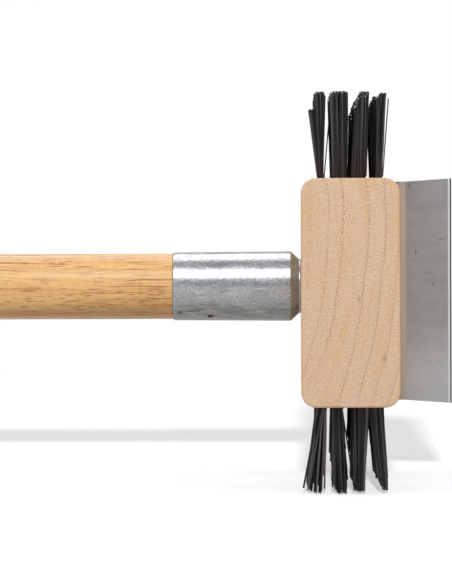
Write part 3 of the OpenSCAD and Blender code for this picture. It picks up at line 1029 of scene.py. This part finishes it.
def tuft_wires(root, side, look, depth, chance):
    """The wires of one tuft; depth is 0 for the nearest tuft and 1 for the farthest.

    Each wire has a place in the pack, across it along X and inward along the block, from -1 to 1.
    """
    corner_limit = 1.5
    gathered = 0.85
    tip_share = 0.998
    near = depth < look["near"]
    lean = look["lean"] if near else look.get("far_lean", look["lean"])
    tip_half = look["tip"] if near else look.get("far_tip", look["tip"])
    kept = look["kept"] if near else 1.0
    clumps = look["clumps"] if near else 0
    columns = max(2, round(2 * look["root"] * MM / WIRE_PITCH))
    solids = []
    own_lean = Vector((chance.gauss(0, 0.35), chance.gauss(0, 0.6)))
    own_wear = look["far"] * (depth ** 0.7 + chance.uniform(-0.12, 0.12))
    for column in range(columns):
        for layer in range(WIRE_LAYERS):
            across = (column + 0.5) / columns * 2 - 1 + chance.uniform(-0.12, 0.12)
            inward = (layer + 0.5) / WIRE_LAYERS * 2 - 1 + chance.uniform(-0.06, 0.06)
            if across ** 2 + inward ** 2 > corner_limit or chance.random() > kept:
                continue
            hole_across = across * min(PACK_HALF, look["root"] * MM)
            in_hole = Vector((hole_across, inward * PACK_HALF))
            start = root + in_hole.to_3d()
            body_x = look["shift"] + across * (look["root"] - HALF_WIRE)
            body = Vector((body_x, inward * ROOT_HALF_DEPTH))
            wander = Vector((chance.gauss(0, look["stray"]), chance.gauss(0, look["stray"])))
            spread = across
            if clumps and chance.random() < gathered:
                spread = round(across * clumps / 2) * 2 / clumps + 0.12 * across
            tip = Vector((lean + spread * (tip_half - HALF_WIRE), inward * TIP_HALF_DEPTH))
            loss = max(0, own_wear) + look["side"] * max(0, -across)
            loss += look["ragged"] * chance.random() ** 1.5
            length = trim * (tip_share - loss)
            twist = chance.gauss(0, 0.35)
            slant = chance.uniform(-0.1, 0.32) * MM
            curl = chance.gauss(0, 0.15) * MM
            body_shift = body * MM - in_hole
            tip_shift = (tip + wander + own_lean) * MM - in_hole
            solids.append(wire(start, body_shift, tip_shift, side, length, twist, slant, curl))
    return solids


def stray_wire(root, side, look, across, lean, share, width):
    """A wire that stands apart from its tuft."""
    start = root + Vector((across * min(1.6, look["root"]) * MM, 0, 0))
    body = Vector((look["shift"] + across * 0.3, -1.2)) * MM
    tip = Vector((lean, -2.0)) * MM
    return wire(start, body, tip, side, trim * share, 0.1, 0.0, 0.0, WIRE_WIDTH * width)


def build_tufts():
    """One piece of wires for each row, with the cut ends in a material of their own."""
    materials = [dark_wire(), cut_wire(), copper_wire()]
    for (name, row), own_look in ROW_LOOKS.items():
        look = USUAL_LOOK | own_look
        side = sides[name]
        face_z = block_high.z if side > 0 else block_low.z
        chance = random.Random(f"{name}{row}")
        roots = [Vector((spot.x, spot.y, face_z)) for spot in tuft_places(name, row)]
        solids = []
        for k, root in enumerate(roots):
            depth = k / (len(roots) - 1)
            solids += tuft_wires(root, side, look, depth, chance)
        numbers = [0] * len(solids)
        for stray_side, stray_row, tuft, across, lean, share, width, number in STRAYS:
            if (stray_side, stray_row) == (name, row):
                solids.append(stray_wire(roots[tuft], side, look, across, lean, share, width))
                numbers.append(number)
        piece = new_object(f"{name}_wires_row_{row}", *joined(solids))
        paint(piece, *materials)
        faces_in_wire = len(solids[0][1])
        for index, face in enumerate(piece.data.polygons):
            wire_number, face_number = divmod(index, faces_in_wire)
            cut_end = face_number == faces_in_wire - 1
            face.material_index = 1 if cut_end else numbers[wire_number]
        place(piece, "head", "bristle_steel", f"{name}_tufts_row_{row}")


def finish_anchors():
    """The anchors stay CAD nodes, with drawn wire's own look."""
    drawn = bright_steel("drawn_anchor_wire", (0.5, 0.5, 0.51), 0.35)
    for name in sides:
        for row in rows:
            paint(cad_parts[f"{name}_anchors_row_{row}"], drawn)


# ---- Camera, stage and light ----


def add_camera():
    """Long lens level with the upper part of the block, turned a little left and down."""
    camera = bpy.data.objects.new("camera", bpy.data.cameras.new("camera"))
    scene.collection.objects.link(camera)
    camera.data.lens = 302.6
    camera.data.sensor_width = 36
    distance = 1.9
    eye = Vector((block_low.x, block_low.y - distance, block_middle.z + 35 * MM))
    aim = Vector((block_low.x - 29 * MM, block_low.y, block_middle.z + 0.5 * MM))
    roll = Quaternion((0, 0, 1), math.radians(-0.18))
    camera.location = eye
    camera.rotation_euler = ((aim - eye).to_track_quat("-Z", "Y") @ roll).to_euler()
    scene.camera = camera


def add_floor():
    """Pale floor, brighter to the camera than to the brush, that fades into the white room."""
    size = 6.0
    fade_from = 0.8
    fade_to = 1.3
    corners = [(-size, -size, 0), (size, -size, 0), (size, size, 0), (-size, size, 0)]
    floor = new_object("floor", corners, [(0, 1, 2, 3)])
    floor.location.z = cad_low.z - 0.2 * MM
    s = Surface("pale_floor")
    rays = s.node("ShaderNodeLightPath").outputs["Is Camera Ray"]
    s.set(Base_Color=s.mix(rays, (0.275, 0.275, 0.275), (0.27, 0.27, 0.27)))
    s.set(Emission_Color=(1.0, 1.0, 1.0))
    s.set(Emission_Strength=s.math("MULTIPLY_ADD", rays, 0.42, 0.03))
    s.set(Roughness=1.0)
    s.set(Specular_IOR_Level=0.0)
    far = s.vector("LENGTH", s.place, output="Value")
    glow = s.node("ShaderNodeEmission")
    blend = s.node("ShaderNodeMixShader")
    s.feed(blend.inputs[0], s.between(far, fade_from, fade_to))
    s.feed(blend.inputs[1], s.shader.outputs[0])
    s.feed(blend.inputs[2], glow.outputs[0])
    s.feed(s.tree.nodes["Material Output"].inputs["Surface"], blend.outputs[0])
    paint(floor, s.material)
    return floor


def add_box_light(name, elevation, distance, width, height, radiance):
    """Softbox square to the sleeve, at an elevation counted up from the camera's side."""
    data = bpy.data.lights.new(name, "AREA")
    data.shape = "RECTANGLE"
    data.size = width
    data.size_y = height
    data.energy = radiance * math.pi * width * height
    light = bpy.data.objects.new(name, data)
    scene.collection.objects.link(light)
    turn = math.radians(elevation)
    centre = Vector((block_low.x - 60 * MM, 0, axis_z))
    light.location = centre + distance * Vector((0, -math.cos(turn), math.sin(turn)))
    light.rotation_euler = (math.pi / 2 - turn, 0, 0)


def add_floor_sun(floor):
    """Low sun from the camera's side that only lights the floor, so the brush shades it behind."""
    data = bpy.data.lights.new("floor_sun", "SUN")
    elevation = math.radians(11.2)
    data.energy = 19.0
    data.angle = math.radians(2.0)
    sun = bpy.data.objects.new("floor_sun", data)
    scene.collection.objects.link(sun)
    sun.rotation_euler = (math.pi / 2 - elevation, 0, 0)
    lit = bpy.data.collections.new("lit_by_floor_sun")
    lit.objects.link(floor)
    sun.light_linking.receiver_collection = lit


def add_world():
    """White to the camera; to everything else a grey room, a little bluer on the camera's side."""
    world = bpy.data.worlds.new("studio")
    world.use_nodes = True
    scene.world = world
    tree = world.node_tree
    nodes = tree.nodes
    links = tree.links
    room = nodes["Background"]
    white = nodes.new("ShaderNodeBackground")
    white.inputs["Color"].default_value = (1, 1, 1, 1)
    parts = nodes.new("ShaderNodeSeparateXYZ")
    links.new(nodes.new("ShaderNodeTexCoord").outputs["Generated"], parts.inputs[0])
    ramp = nodes.new("ShaderNodeValToRGB")
    span = nodes.new("ShaderNodeMapRange")
    span.inputs[1].default_value = -1
    links.new(parts.outputs["Y"], span.inputs[0])
    links.new(span.outputs[0], ramp.inputs[0])
    ramp.color_ramp.elements[0].color = (0.48, 0.51, 0.57, 1)
    ramp.color_ramp.elements[1].color = (0.48, 0.48, 0.48, 1)
    links.new(ramp.outputs["Color"], room.inputs["Color"])
    mixed = nodes.new("ShaderNodeMixShader")
    rays = nodes.new("ShaderNodeLightPath")
    links.new(rays.outputs["Is Camera Ray"], mixed.inputs[0])
    links.new(room.outputs[0], mixed.inputs[1])
    links.new(white.outputs[0], mixed.inputs[2])
    links.new(mixed.outputs[0], nodes["World Output"].inputs["Surface"])


def light_stage():
    """Plain view transform, the room, the floor and its sun, and two softboxes on the brush."""
    scene.view_settings.view_transform = "Standard"
    add_world()
    floor = add_floor()
    add_floor_sun(floor)
    add_box_light("front_softbox", 44.8, 1.5, 2.2, 0.75, 2.95)
    add_box_light("top_softbox", 120, 1.3, 1.9, 1.0, 1.6)


add_camera()
light_stage()
build_block()
build_handle()
build_tip()
build_ring()
build_blade()
build_screws()
build_tufts()
finish_anchors()
